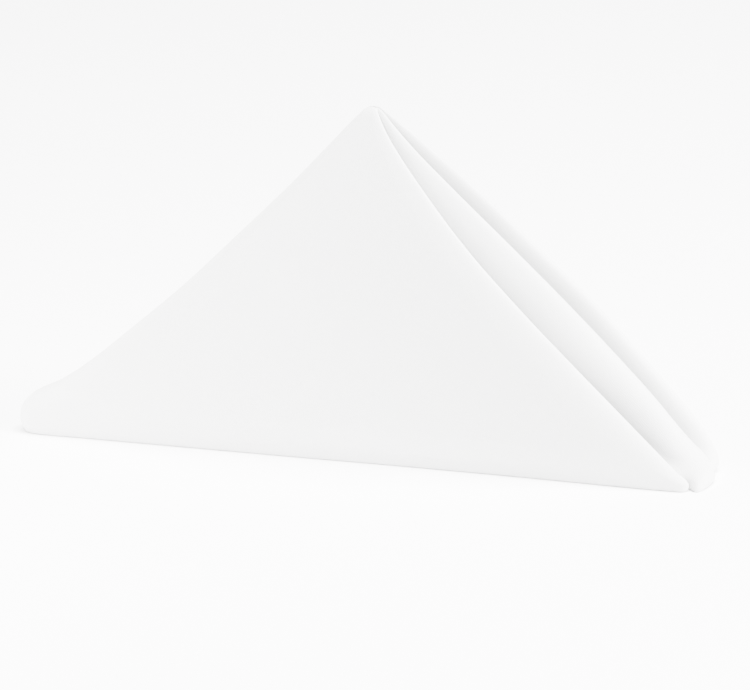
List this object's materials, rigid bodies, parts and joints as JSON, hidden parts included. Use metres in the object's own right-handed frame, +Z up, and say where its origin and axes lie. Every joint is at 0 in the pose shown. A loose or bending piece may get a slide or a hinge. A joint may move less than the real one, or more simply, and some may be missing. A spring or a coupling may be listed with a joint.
{
  "type": "folded cloth napkin",
  "caption": "Square white cloth napkin folded to a standing pyramid, with a smooth triangular front face and rolled folds along its open side.",
  "frame": {"origin": "centre of the bounding box on the plane that the folded napkin rests on", "axes": "+X along the base from the closed nose to the open foot, +Y from the front face to the back face, +Z up to the apex"},
  "size_m": [0.2588, 0.0364, 0.1266],
  "materials": {
    "cloth": "matte plain-woven white cloth"
  },
  "bodies": {
    "root": {"napkin": "cloth"}
  },
  "joints": []
}
